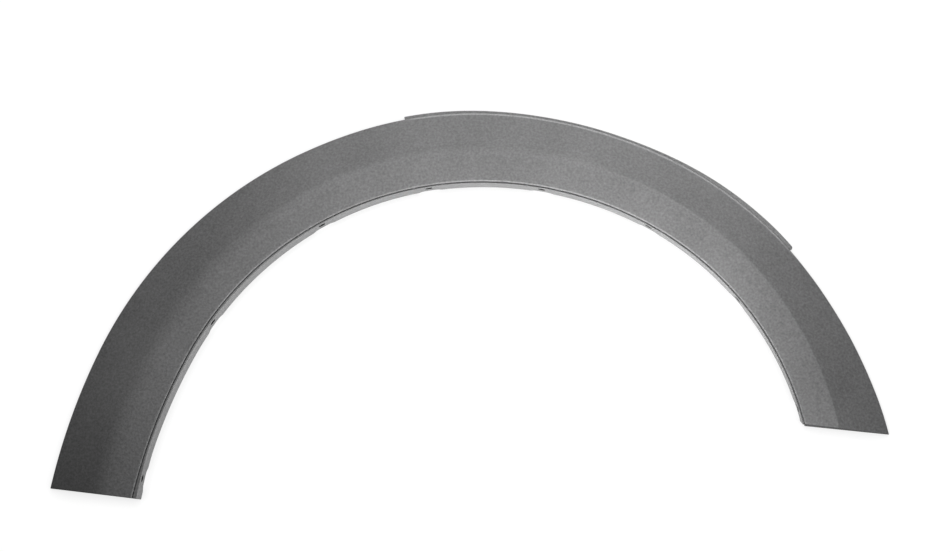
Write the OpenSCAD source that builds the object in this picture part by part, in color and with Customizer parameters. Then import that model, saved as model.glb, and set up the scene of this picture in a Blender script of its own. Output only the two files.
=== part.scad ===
// Wheel arch trim: the moulded band that is fixed round a car's wheel opening.
// It is one injection moulding, shown lying face up on its fender side.
// X runs along the car towards the short leg, Y runs up the car's side and Z points outboard.
// All of it is drawn round the wheel centre, and moved to the middle of its footprint at the end.

/* [Inner edge] */
// Height of the inner edge's top above the wheel centre
arch_height = 327; // [320:1:336]
// Radius of the inner edge over the crown
crown_radius = 341; // [336:1:350]
// Radius of the inner edge's shoulder beside the short leg
short_shoulder_radius = 306; // [300:1:315]
// Radius of the inner edge's shoulder beside the long leg
long_shoulder_radius = 322; // [314:1:330]
// Radius of the inner edge down the long leg, which runs out straighter
long_leg_radius = 545; // [480:5:640]

/* [Outer edge] */
// Radius of the outer edge over the crown and the short leg
outer_radius = 412.5; // [410:0.5:416]
// How far the outer edge's centre lies below the wheel centre
outer_drop = 15; // [12:0.5:18]
// How far the outer edge's centre lies towards the long leg
outer_shift = 5; // [2:0.5:8]
// Radius of the outer edge down the long leg
outer_leg_radius = 610; // [560:5:700]
// How far the outer edge swells out where the ledge begins, over the short leg
short_swell = 1.4; // [0:0.1:2]
// How far it swells out where the ledge ends, over the long leg
long_swell = 1.3; // [0:0.1:2]
// How far it is drawn in on the short leg
leg_tuck = 1; // [0:0.1:1.5]

/* [Feet] */
// Height of the short leg's foot above the wheel centre
short_foot = 120.5; // [110:0.5:126]
// Depth of the long leg's foot below the wheel centre, at the outer edge
long_foot = 16.5; // [0:0.5:25]
// Slope of the long leg's foot, in degrees, down towards the inner edge
foot_slope = 0.8; // [0:0.1:2]
// Thickness of the wall that closes each foot
foot_wall = 2.4; // [2:0.1:3]

/* [Section] */
// Depth from the fender side to the inner edge of the face
depth = 25; // [23:0.5:28]
// Wall thickness of the face
wall = 2.6; // [2.2:0.1:3]
// Distance from the inner edge to the crease, on the short leg and the crown
crease_run = 31.5; // [28:0.5:34]
// How much farther out the crease lies on the long leg
crease_spread = 2.3; // [0:0.1:4]
// Drop of the inner facet from the inner edge to the crease
crease_drop = 2.8; // [1:0.1:4]
// How far the outer facet is hollowed between the crease and the rim
facet_hollow = 0.6; // [0:0.1:1]
// Rounding of the crease at the short leg's foot, where it is sharp
sharp_crease = 0.8; // [0.5:0.1:2]
// Rounding of the crease from the crown to the long leg, where it is soft
soft_crease = 4; // [1:0.1:6]
// Height of the rim at the outer edge
rim_height = 3.6; // [3.2:0.1:5]
// Thickness of the rim
rim_wall = 2.4; // [2:0.1:3]
// Rounding of the outer edge
rim_round = 1.5; // [0.4:0.1:1.8]
// Rounding of the inner edge
edge_round = 1.7; // [0.5:0.1:2]

/* [Shadow gap and flange] */
// Width of the groove between the face and the flange
groove_width = 1; // [0.8:0.1:1.6]
// Depth of the groove below the face
groove_depth = 3; // [2:0.1:4]
// Width of the bead along the top of the flange
bead_width = 0.7; // [0.6:0.1:1.4]
// How far the bead lies below the face
bead_drop = 0.9; // [0.4:0.1:1.4]
// Thickness of the flange
flange_wall = 2.4; // [2:0.1:3]
// Draft of the flange over its depth
draft = 0.2; // [0.1:0.1:0.8]
// How much farther in the flange stands down the long leg
leg_in = 0.9; // [0:0.1:2]
// How much farther in again it stands at the long leg's foot
toe_in = 1.9; // [0:0.1:2.5]
// Length of the corner that is cut off the flange at the short leg's foot
corner_length = 4.5; // [1:0.5:6]
// Height of that corner
corner_height = 20; // [10:1:21]

/* [Fastener holes] */
// Diameter of the holes through the flange
hole_d = 6.5; // [5:0.1:6.6]
// Height of the holes above the fender side
hole_height = 16.2; // [15:0.1:16.2]
// Length of the notch in the free edge at each hole
notch_length = 24; // [20:1:26]
// Height of the notch
notch_height = 4.5; // [3:0.5:8]
// Thickness of the gussets beside each hole
gusset_wall = 1.8; // [1.2:0.1:2.4]
// How far the gussets run out under the face
gusset_run = 20; // [12:1:24]

/* [Ledge] */
// How far the ledge stands out from the rim over the crown
ledge_width = 2.2; // [1.5:0.1:4]
// How much farther it stands out at its end over the short leg
ledge_short_spread = 1.8; // [0.5:0.1:3]
// How much farther it stands out at its end over the long leg
ledge_long_spread = 0.8; // [0:0.1:2]
// Thickness of the ledge
ledge_wall = 1.8; // [1.2:0.1:2.2]
// Direction of the ledge's end over the short leg, in degrees
ledge_from = 47; // [44:0.5:56]
// Direction of the ledge's end over the long leg, in degrees
ledge_to = 107; // [98:0.5:112]
// Radius of the round end over the short leg
ledge_corner = 2.4; // [1:0.1:3]

/* [Clip seats] */
// Length of a clip seat along the arch
seat_length = 18; // [14:1:22]
// Width of a clip seat across the arch
seat_width = 15; // [12:1:18]
// Distance from the inner edge to the middle of a clip seat
seat_run = 21; // [19:0.5:22]
// Height of a clip seat's plate above the fender side
seat_height = 4.5; // [3:0.5:7]
// Wall thickness of a clip seat
seat_wall = 1.8; // [1.4:0.1:2.2]
// Width of the clip's neck in the seat's slot
clip_neck = 6.2; // [5:0.1:8]

/* [Hidden] */

// Directions from the wheel centre, in degrees from X, at which one arc meets the next
short_shoulder_end = 66;
long_shoulder_start = 102;
long_leg_start = 157;
outer_leg_start = 163;
// The loft runs a little past both feet and is cut back to them
loft_start = 14;
loft_end = 186;
loft_steps = 68;
// Straights along the ledge
ledge_steps = 100;
// Directions of the fastener holes, and of the clip seats between them
hole_angles = [24.7, 46, 65.8, 85.4, 105, 124.7, 150.1, 179.5];
seat_angles = [for (i = [0:len(hole_angles) - 2]) (hole_angles[i] + hole_angles[i + 1]) / 2];
// Extra length that makes a cut run clear of the surface it starts from
clear = 1;
// Edge of a block that is larger than the whole part
block = 1000;

// A point at a distance and a direction from the wheel centre
function polar(r, a) = [r * cos(a), r * sin(a)];

// Direction of a plan vector
function direction(v) = atan2(v[1], v[0]);

// Distance from the wheel centre, in direction a, to a circle of radius r round the point c
function reach(c, r, a) =
    let (along = c * polar(1, a))
    along + sqrt(r * r - c * c + along * along);

// Centre of the arc of radius next_r that carries on from the arc (c, r) in direction a
function next_centre(c, r, next_r, a) =
    let (joint = polar(reach(c, r, a), a))
    joint + (c - joint) * next_r / r;

// Smooth step from 0 to 1 between the directions a and b
function ease(a, b, x) =
    let (t = min(1, max(0, (x - a) / (b - a))))
    t * t * (3 - 2 * t);

// The inner edge is four tangent arcs, each one a centre and a radius
crown = [[0, arch_height - crown_radius], crown_radius];
short_shoulder = [next_centre(crown[0], crown[1], short_shoulder_radius, short_shoulder_end),
    short_shoulder_radius];
long_shoulder = [next_centre(crown[0], crown[1], long_shoulder_radius, long_shoulder_start),
    long_shoulder_radius];
long_leg = [next_centre(long_shoulder[0], long_shoulder[1], long_leg_radius, long_leg_start),
    long_leg_radius];

// The outer edge is two
outer_arc = [[-outer_shift, -outer_drop], outer_radius];
outer_leg = [next_centre(outer_arc[0], outer_arc[1], outer_leg_radius, outer_leg_start),
    outer_leg_radius];

// The arc that holds in direction a
function inner_arc_at(a) =
    a < short_shoulder_end ? short_shoulder :
    a < long_shoulder_start ? crown :
    a < long_leg_start ? long_shoulder : long_leg;
function outer_arc_at(a) = a < outer_leg_start ? outer_arc : outer_leg;

// How far the outer edge stands off its arcs
function swell(a) =
    short_swell * (ease(42, 52, a) - ease(60, 79, a))
    + long_swell * (ease(82, 104, a) - ease(104, 122, a))
    - leg_tuck * (ease(18, 29, a) - ease(35, 45, a));

// Distance from the wheel centre to each edge
function inner_reach(a) = let (arc = inner_arc_at(a)) reach(arc[0], arc[1], a);
function outer_reach(a) = let (arc = outer_arc_at(a)) reach(arc[0], arc[1], a) + swell(a);

// Distance across the face from its inner edge to the crease
function crease_at(a) = crease_run + crease_spread * ease(130, 158, a);

// Height of the face at a distance run out from its inner edge, its roundings left out
function face_height(a, run) =
    let (
        crease = crease_at(a),
        width = outer_reach(a) - inner_reach(a),
        t = max(0, (run - crease) / (width - crease)),
        crease_height = depth - crease_drop
    )
    run < crease
        ? depth - crease_drop * run / crease
        : crease_height - (crease_height - rim_height) * t - 4 * facet_hollow * t * (1 - t);

// How far the flange's inner side stands in from the face's inner edge
function set_in(a) =
    groove_width + bead_width + leg_in * ease(110, 150, a) + toe_in * ease(174, 184, a);

// Distance from the wheel centre to the ledge's outer edge
function ledge_reach(a) =
    outer_reach(a) + ledge_width
    + ledge_short_spread * (1 - ease(55, 75, a)) + ledge_long_spread * ease(86, 104, a);

// A corner at b, between a and c, rounded over a length size on each side with a curve of n steps
function rounded(a, b, c, size, n) =
    let (
        from = b + size * (a - b) / norm(a - b),
        to = b + size * (c - b) / norm(c - b)
    )
    [for (i = [0:n]) let (t = i / n) (1 - t) * (1 - t) * from + 2 * t * (1 - t) * b + t * t * to];

// Section of the whole moulding as if solid, as distance from the wheel centre and height
function skin_section(a) =
    let (
        inner = inner_reach(a),
        outer = outer_reach(a),
        crease = inner + crease_at(a),
        facet = outer - crease,
        softness = sharp_crease + (soft_crease - sharp_crease) * ease(25, 95, a),
        groove_floor = depth - groove_depth,
        bead_top = depth - bead_drop,
        rim_foot = [outer, 0],
        rim_top = [outer, rim_height],
        facet_out = [crease + 0.7 * facet, face_height(a, crease + 0.7 * facet - inner)],
        facet_in = [crease + 0.35 * facet, face_height(a, crease + 0.35 * facet - inner)],
        crease_top = [crease, depth - crease_drop],
        edge = [inner, depth],
        groove_out = [inner, groove_floor],
        groove_in = [inner - groove_width, groove_floor],
        bead_out = [inner - groove_width, bead_top],
        bead_in = [inner - set_in(a), bead_top],
        free_edge = [inner - set_in(a) - draft, 0]
    )
    concat(
        [rim_foot],
        rounded(rim_foot, rim_top, facet_out, rim_round, 3),
        [facet_out, facet_in],
        rounded(facet_in, crease_top, edge, softness, 4),
        rounded(crease_top, edge, groove_out, edge_round, 4),
        [groove_out, groove_in, bead_out],
        rounded(bead_out, bead_in, free_edge, 0.5, 2),
        [free_edge]
    );

// Section of the channel behind the face, open on the fender side
function channel_section(a) =
    let (
        inner = inner_reach(a),
        outer = outer_reach(a),
        width = outer - inner,
        crease = crease_at(a),
        mid_facet = (crease + width) / 2,
        rim_run = width - rim_wall,
        flange_side = inner - set_in(a) + flange_wall,
        boss = 1.7 * wall
    )
    [
        [outer - rim_wall, -clear],
        [outer - rim_wall, face_height(a, rim_run) - wall],
        [inner + mid_facet, face_height(a, mid_facet) - wall],
        [inner + crease, face_height(a, crease) - wall],
        [inner + boss, face_height(a, boss) - wall],
        [flange_side, depth - groove_depth - 0.9 * wall],
        [flange_side - draft, -clear]
    ];

// Skin through a row of rings, each a closed loop of points
module loft(rings) {
    sides = len(rings[0]);
    last = len(rings) - 1;
    points = [for (ring = rings, p = ring) p];
    skin = [for (i = [0:last - 1], j = [0:sides - 1])
        let (k = (j + 1) % sides, a = i * sides + j, b = i * sides + k)
        for (face = [[a, b, b + sides], [a, b + sides, a + sides]]) face];
    start_cap = [for (j = [0:sides - 1]) sides - 1 - j];
    end_cap = [for (j = [0:sides - 1]) last * sides + j];
    polyhedron(points, concat(skin, [start_cap, end_cap]), convexity = 10);
}

// The directions at which the loft has a ring
stations = [for (i = [0:loft_steps]) loft_start + (loft_end - loft_start) * i / loft_steps];

// A section stood up in the radial plane in direction a
function stood(section, a) = [for (p = section) [p[0] * cos(a), p[0] * sin(a), p[1]]];

// Where the outer edge crosses the line of each foot
short_foot_x = outer_arc[0][0]
    + sqrt(pow(outer_arc[1], 2) - pow(short_foot - outer_arc[0][1], 2));
long_foot_x = outer_leg[0][0]
    - sqrt(pow(outer_leg[1], 2) - pow(long_foot + outer_leg[0][1], 2));

// All that lies above both feet, cut back from them by an inset
module between_feet(inset) {
    translate([0, short_foot + inset, -block / 2]) cube(block);
    translate([long_foot_x, inset - long_foot, -block / 2]) rotate([0, 0, -foot_slope])
        translate([-block / 2, 0, 0]) cube(block);
}

// The ledge that stands out from the rim over the crown, tucked under the next panel
module ledge() {
    directions = [for (i = [0:ledge_steps]) ledge_from + (ledge_to - ledge_from) * i / ledge_steps];
    linear_extrude(ledge_wall) {
        polygon(concat(
            [for (a = directions) polar(ledge_reach(a), a)],
            [for (i = [ledge_steps:-1:0])
                polar(outer_reach(directions[i]) - 2 * rim_wall, directions[i])]
        ));
        translate(polar(ledge_reach(ledge_from) - ledge_corner, ledge_from))
            circle(ledge_corner, $fn = 48);
    }
}

// Puts its children on the inner edge in direction a, with X pointing out, square to the wall
module at_wall(a) {
    foot = polar(inner_reach(a), a);
    translate([foot[0], foot[1], 0])
        rotate([0, 0, direction(foot - inner_arc_at(a)[0])])
            children();
}

// Cut for one fastener: a round hole through the flange and a notch in its free edge
module fastener_cut(a) {
    run = 8;
    at_wall(a) {
        translate([-run, 0, hole_height]) rotate([0, 90, 0])
            cylinder(d = hole_d, h = 2 * run - 2, $fn = 48);
        translate([run - 2, 0, 0]) rotate([90, 0, -90])
            linear_extrude(2 * run - 2)
                polygon([
                    [-notch_length / 2, -clear], [notch_length / 2, -clear],
                    [notch_length / 2 - notch_height, notch_height],
                    [notch_height - notch_length / 2, notch_height]
                ]);
    }
}

// Cut that takes the lower corner off the flange where it meets the short leg's foot
module corner_cut() {
    foot_angle = asin(short_foot / inner_reach(asin(short_foot / crown_radius)));
    translate([inner_reach(foot_angle) * cos(foot_angle) + clear, short_foot, 0])
        rotate([90, 0, -90])
            linear_extrude(2 * flange_wall + corner_length)
                polygon([
                    [clear, -clear], [-corner_length, -clear], [-corner_length, 0],
                    [0, corner_height], [clear, corner_height]
                ]);
}

// Two ribs that tie the flange to the face beside a fastener hole
module gussets(a) {
    apart = notch_length + 4;
    at_wall(a)
        for (side = [-1, 1])
            translate([0, side * apart / 2 + gusset_wall / 2, 0]) rotate([90, 0, 0])
                linear_extrude(gusset_wall)
                    polygon([[-clear, rim_height], [-clear, depth - wall / 2],
                        [gusset_run, depth - wall / 2]]);
}

// Boxed seat behind the face for a push-in clip, entered from the outer side
module clip_seat(a) {
    at_wall(a) translate([seat_run, 0, seat_height])
        difference() {
            translate([-seat_width / 2, -seat_length / 2, 0])
                cube([seat_width, seat_length, depth - seat_height]);
            translate([seat_wall - seat_width / 2, seat_wall - seat_length / 2, seat_wall])
                cube([seat_width, seat_length - 2 * seat_wall, depth]);
            translate([0, 0, -clear]) cylinder(d = clip_neck, h = seat_wall + 2 * clear, $fn = 36);
            translate([0, -clip_neck / 2, -clear])
                cube([seat_width, clip_neck, seat_wall + 2 * clear]);
        }
}

// The hollow behind the face, with the ribs and seats that stand in it left standing
module hollow() {
    difference() {
        intersection() {
            loft([for (a = stations) stood(channel_section(a), a)]);
            between_feet(foot_wall);
        }
        for (a = hole_angles) gussets(a);
        for (a = seat_angles) clip_seat(a);
    }
}

// The footprint reaches from the ledge's top to the flange's free edge at the long leg's foot
ledge_top = max([for (a = [86:0.5:100]) ledge_reach(a) * sin(a)]);
toe_angle = 180 + asin(long_foot / inner_reach(180));
toe_x = (inner_reach(toe_angle) - set_in(toe_angle) - draft) * cos(toe_angle);
toe_depth = long_foot + (toe_x - long_foot_x) * tan(foot_slope);

module arch_trim() {
    color("dimgray")
        translate([-(short_foot_x + long_foot_x) / 2, -(ledge_top - toe_depth) / 2, 0])
            difference() {
                union() {
                    intersection() {
                        loft([for (a = stations) stood(skin_section(a), a)]);
                        between_feet(0);
                    }
                    ledge();
                }
                hollow();
                for (a = hole_angles) fastener_cut(a);
                corner_cut();
            }
}

arch_trim();
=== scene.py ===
"""Wheel arch trim: one moulding in grained plastic, lying face up on a white studio floor.

X runs along the car towards the short leg, Y up the car's side and Z outboard, all in metres. The
band is swept round the wheel centre between its two feet, then the ledge, ribs and clip seats are
joined to it, and the holes and notches are cut.
"""

from collections import namedtuple
from math import cos, radians, sin, tan

import bmesh
import bpy
import numpy as np
from bpy.props import FloatProperty, FloatVectorProperty, IntProperty, PointerProperty
from bpy.types import Operator, Panel, PropertyGroup
from mathutils import Matrix, Vector


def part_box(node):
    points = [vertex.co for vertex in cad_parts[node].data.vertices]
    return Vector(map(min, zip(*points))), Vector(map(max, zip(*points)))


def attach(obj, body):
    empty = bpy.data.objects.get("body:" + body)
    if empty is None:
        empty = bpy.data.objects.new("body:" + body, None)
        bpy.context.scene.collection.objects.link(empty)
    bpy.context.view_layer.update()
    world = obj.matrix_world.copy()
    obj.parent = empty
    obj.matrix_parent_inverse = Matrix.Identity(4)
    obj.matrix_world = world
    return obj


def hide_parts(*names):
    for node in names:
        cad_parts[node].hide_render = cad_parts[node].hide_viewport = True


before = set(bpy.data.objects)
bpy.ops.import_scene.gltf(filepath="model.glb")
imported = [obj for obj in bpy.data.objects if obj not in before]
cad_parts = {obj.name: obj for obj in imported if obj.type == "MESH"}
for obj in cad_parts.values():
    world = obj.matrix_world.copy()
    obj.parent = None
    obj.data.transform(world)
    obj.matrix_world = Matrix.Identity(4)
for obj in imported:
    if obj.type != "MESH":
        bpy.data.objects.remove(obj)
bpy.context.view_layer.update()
TRIM_LOW, TRIM_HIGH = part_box("arch_trim")

bl_info = {
    "name": "Wheel Arch Trim",
    "version": (1, 0, 0),
    "blender": (4, 5, 0),
    "location": "View3D > Sidebar > Arch Trim",
    "description": "Moulds a wheel arch trim with its crease, shadow gap, flange and clip seats",
    "category": "Object",
}

PIECE = "arch_trim_moulding"
# Names under which the mesh stores its painted shade, with where it is plain, and its painted
# highlights
SHADE_AND_PLAIN = "painted_shade_and_plain"
EDGE_HIGHLIGHT = "painted_edge_highlight"

# Directions from the wheel centre at which one arc of an edge meets the next
SHORT_SHOULDER_END = radians(66)
LONG_SHOULDER_START = radians(102)
LONG_LEG_START = radians(157)
OUTER_LEG_START = radians(163)
# Directions of the fastener holes; a clip seat stands midway between each two
HOLE_ANGLES = [radians(a) for a in (24.7, 46, 65.8, 85.4, 105, 124.7, 150.1, 179.5)]
SEAT_ANGLES = [(a + b) / 2 for a, b in zip(HOLE_ANGLES, HOLE_ANGLES[1:])]

# Spans of directions, in degrees, over which a feature of the plan or section comes in or goes out
SHORT_SWELL_IN, SHORT_SWELL_OUT = (42, 52), (60, 79)
LONG_SWELL_IN, LONG_SWELL_OUT = (82, 104), (104, 122)
LEG_TUCK_IN, LEG_TUCK_OUT = (18, 29), (35, 45)
SHORT_SPREAD_OUT, LONG_SPREAD_IN = (55, 75), (86, 104)
CREASE_SPREAD_IN = (130, 158)
LEG_IN_SPAN, TOE_IN_SPAN = (110, 150), (174, 184)
SOFT_CREASE_IN, LEG_CREASE_IN = (25, 95), (105, 155)
# The same for the painted highlight of the inner edge, at the crown and down the long leg, and of the
# rim
CROWN_HIGHLIGHT_IN, CROWN_HIGHLIGHT_OUT = (42, 70), (94, 115)
LONG_LEG_HIGHLIGHT_OUT = (140, 155)
RIM_HIGHLIGHT_IN, RIM_HIGHLIGHT_OUT = (44, 50), (104, 109)
# Directions over the crown among which the ledge's top lies
CROWN_SEARCH = np.radians(np.arange(86, 100, 0.5))

# Shares of each facet's run at which its points lie, clear of the roundings at its ends
OUTER_FACET_SHARES = np.linspace(0.94, 0.3, 8)
INNER_FACET_SHARES = np.linspace(0.62, 0.12, 4)
# Run and drop of the thick corner behind the groove, in walls of the face
BACKING_RUN, BACKING_DROP = 1.7, 0.9
# How far in and how far along each of the two rings goes that round a foot, in roundings
FOOT_RINGS = ((0.3, 0.7), (1.0, 1.0))
# Where the middle point of the ledge's rounded edge lies, in roundings from its two sides
LEDGE_SHOULDER = 0.3
LEDGE_SECTIONS, NOSE_SECTIONS = 220, 20
NOSE_TURN = radians(84)
SLOT_TURNS = np.linspace(90, 270, 17)
HOLE_SIDES = 48
# Length by which a cutting shape runs clear of the surface that it cuts
CLEAR = 0.001
# Reach of the cutters of holes and notches on the wheel's side of the face's edge and behind it
CUT_IN, HOLE_CUT_OUT, NOTCH_CUT_OUT = 0.008, 0.004, 0.006
# How far below the fender side a notch's outline turns, as a share of that length
BELOW_SHARE = 0.01
# Share of a notch's rounding that is taken, so that no two roundings meet in one point
NOTCH_ROUND_SHARE = 0.99
# Rounds in which the direction of a foot's points settles
SETTLE_ROUNDS = 8

# Distances that tell a cut from the surface that it is cut into, at the groove and at the flange
PAST_GROOVE, PAST_SURFACE = 0.0003, 0.00008
# Y of a face's normal from which it counts as facing down the car
FACES_DOWN = -0.9
# Roundings from an edge's corner at which its painted highlight begins to fade and is gone
INNER_HIGHLIGHT_FADE, RIM_HIGHLIGHT_FADE = (0.5, 1.1), (0.8, 1.6)
# Painted highlight of the inner edge down the legs, against that over the crown
LEG_HIGHLIGHT = 0.4
# Share of the wide, faint patches in the mottling
CLOUD_SHARE = 0.25
# Spacing of the ripples between the grain's pits, against the pits' own
RIPPLE_SPACING = 1.7
# How far the roughness of the grain varies on either side of its mean
ROUGHNESS_SPREAD = 0.08
# Angle from which two faces meet in a sharp edge
SHARP_FROM = radians(32)
# Openness of the floor up to which it is dark, and from which it is white
COVERED, OPEN = 0.1, 0.4
SENSOR_WIDTH = 36

Arc = namedtuple("Arc", "centre radius")
Lamp = namedtuple("Lamp", "name place size power")


class ArchEdges(PropertyGroup):
    """Plan of the two long edges and the two feet, about the wheel centre."""

    arch_height: FloatProperty(
        name="Arch height", description="Height of the inner edge's top above the wheel centre",
        default=0.327, min=0.32, max=0.336, precision=4, unit="LENGTH")
    crown_radius: FloatProperty(
        name="Crown radius", description="Radius of the inner edge over the crown",
        default=0.341, min=0.336, max=0.35, precision=4, unit="LENGTH")
    short_shoulder_radius: FloatProperty(
        name="Short shoulder radius", description="Radius of the inner edge beside the short leg",
        default=0.306, min=0.3, max=0.315, precision=4, unit="LENGTH")
    long_shoulder_radius: FloatProperty(
        name="Long shoulder radius", description="Radius of the inner edge beside the long leg",
        default=0.322, min=0.314, max=0.33, precision=4, unit="LENGTH")
    long_leg_radius: FloatProperty(
        name="Long leg radius", description="Radius of the inner edge down the long leg",
        default=0.545, min=0.48, max=0.64, precision=4, unit="LENGTH")
    outer_radius: FloatProperty(
        name="Outer radius", description="Radius of the outer edge over the crown and short leg",
        default=0.4125, min=0.41, max=0.416, precision=4, unit="LENGTH")
    outer_drop: FloatProperty(
        name="Outer drop", description="How far the outer edge's centre lies below the wheel's",
        default=0.015, min=0.012, max=0.018, precision=4, unit="LENGTH")
    outer_shift: FloatProperty(
        name="Outer shift", description="How far that centre lies towards the long leg",
        default=0.005, min=0.002, max=0.008, precision=4, unit="LENGTH")
    outer_leg_radius: FloatProperty(
        name="Outer leg radius", description="Radius of the outer edge down the long leg",
        default=0.61, min=0.56, max=0.7, precision=4, unit="LENGTH")
    short_swell: FloatProperty(
        name="Short swell", description="How far the outer edge swells out where the ledge begins",
        default=0.0014, min=0, max=0.002, precision=4, unit="LENGTH")
    long_swell: FloatProperty(
        name="Long swell", description="How far the outer edge swells out where the ledge ends",
        default=0.0013, min=0, max=0.002, precision=4, unit="LENGTH")
    leg_tuck: FloatProperty(
        name="Leg tuck", description="How far the outer edge is drawn in on the short leg",
        default=0.001, min=0, max=0.0015, precision=4, unit="LENGTH")
    short_foot: FloatProperty(
        name="Short foot", description="Height of the short leg's foot above the wheel centre",
        default=0.1205, min=0.11, max=0.126, precision=4, unit="LENGTH")
    long_foot: FloatProperty(
        name="Long foot", description="Depth of the long leg's foot below the wheel centre",
        default=0.0165, min=0, max=0.025, precision=4, unit="LENGTH")
    foot_slope: FloatProperty(
        name="Foot slope", description="Slope of the long leg's foot, down towards the inner edge",
        default=radians(0.8), min=0, max=radians(2), subtype="ANGLE")
    foot_wall: FloatProperty(
        name="Foot wall", description="Thickness of the wall that closes each foot",
        default=0.0024, min=0.002, max=0.003, precision=4, unit="LENGTH")
    foot_round: FloatProperty(
        name="Foot rounding", description="Rounding of the edges round each foot",
        default=0.00025, min=0.0001, max=0.0003, precision=5, unit="LENGTH")
    stations: IntProperty(
        name="Stations", description="Number of sections along the band",
        default=560, min=200, max=800)


class FaceSection(PropertyGroup):
    """Section of the face, from the inner edge over the crease to the rim."""

    depth: FloatProperty(
        name="Depth", description="Depth from the fender side to the inner edge of the face",
        default=0.025, min=0.023, max=0.028, precision=4, unit="LENGTH")
    wall: FloatProperty(
        name="Wall", description="Wall thickness of the face",
        default=0.0026, min=0.0022, max=0.003, precision=4, unit="LENGTH")
    crease_run: FloatProperty(
        name="Crease run", description="Distance from the inner edge to the crease",
        default=0.0315, min=0.028, max=0.034, precision=4, unit="LENGTH")
    crease_spread: FloatProperty(
        name="Crease spread", description="How much farther out the crease lies on the long leg",
        default=0.0023, min=0, max=0.004, precision=4, unit="LENGTH")
    crease_drop: FloatProperty(
        name="Crease drop", description="Drop of the inner facet from the inner edge to the crease",
        default=0.0028, min=0.001, max=0.004, precision=4, unit="LENGTH")
    facet_hollow: FloatProperty(
        name="Facet hollow", description="How far the outer facet is hollowed",
        default=0.0006, min=0, max=0.001, precision=4, unit="LENGTH")
    sharp_crease: FloatProperty(
        name="Sharp crease", description="Rounding of the crease at the short leg's foot",
        default=0.0008, min=0.0005, max=0.002, precision=4, unit="LENGTH")
    soft_crease: FloatProperty(
        name="Soft crease", description="Rounding of the crease from the crown to the long leg",
        default=0.004, min=0.001, max=0.006, precision=4, unit="LENGTH")
    leg_crease: FloatProperty(
        name="Long leg crease", description="Rounding of the crease near the long leg's foot",
        default=0.009, min=0.004, max=0.011, precision=4, unit="LENGTH")
    rim_height: FloatProperty(
        name="Rim height", description="Height of the rim at the outer edge",
        default=0.0036, min=0.0032, max=0.005, precision=4, unit="LENGTH")
    rim_wall: FloatProperty(
        name="Rim wall", description="Thickness of the rim",
        default=0.0024, min=0.002, max=0.003, precision=4, unit="LENGTH")
    rim_round: FloatProperty(
        name="Rim rounding", description="Rounding of the outer edge",
        default=0.0015, min=0.0004, max=0.0018, precision=4, unit="LENGTH")
    edge_round: FloatProperty(
        name="Inner edge rounding", description="Rounding of the inner edge of the face",
        default=0.0017, min=0.0005, max=0.002, precision=4, unit="LENGTH")


class FlangeSection(PropertyGroup):
    """Section of the shadow gap and of the flange that turns in towards the fender."""

    groove_width: FloatProperty(
        name="Groove width", description="Width of the groove between the face and the flange",
        default=0.001, min=0.0008, max=0.0016, precision=4, unit="LENGTH")
    groove_depth: FloatProperty(
        name="Groove depth", description="Depth of the groove below the face",
        default=0.003, min=0.002, max=0.004, precision=4, unit="LENGTH")
    groove_round: FloatProperty(
        name="Groove rounding", description="Rounding of the corners at the groove's floor",
        default=0.0003, min=0.0001, max=0.0004, precision=5, unit="LENGTH")
    bead_width: FloatProperty(
        name="Bead width", description="Width of the bead along the top of the flange",
        default=0.0007, min=0.0006, max=0.0014, precision=4, unit="LENGTH")
    bead_drop: FloatProperty(
        name="Bead drop", description="How far the bead lies below the face",
        default=0.0009, min=0.0004, max=0.0014, precision=4, unit="LENGTH")
    bead_round: FloatProperty(
        name="Bead rounding", description="Rounding of the bead's inner edge",
        default=0.0005, min=0.0002, max=0.0006, precision=5, unit="LENGTH")
    flange_wall: FloatProperty(
        name="Flange wall", description="Thickness of the flange",
        default=0.0024, min=0.002, max=0.003, precision=4, unit="LENGTH")
    draft: FloatProperty(
        name="Draft", description="Draft of the flange over its depth",
        default=0.0002, min=0.0001, max=0.0008, precision=5, unit="LENGTH")
    leg_in: FloatProperty(
        name="Leg-in", description="How much farther in the flange stands down the long leg",
        default=0.0009, min=0, max=0.002, precision=4, unit="LENGTH")
    toe_in: FloatProperty(
        name="Toe-in", description="How much farther in again it stands at the long leg's foot",
        default=0.0019, min=0, max=0.0025, precision=4, unit="LENGTH")
    corner_length: FloatProperty(
        name="Corner length", description="Length of the corner cut off at the short leg's foot",
        default=0.0045, min=0.001, max=0.006, precision=4, unit="LENGTH")
    corner_height: FloatProperty(
        name="Corner height", description="Height of that corner",
        default=0.02, min=0.01, max=0.021, precision=4, unit="LENGTH")
    free_round: FloatProperty(
        name="Free edge rounding", description="Rounding of the band's edges on the fender side",
        default=0.0003, min=0.0001, max=0.0006, precision=5, unit="LENGTH")


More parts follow.
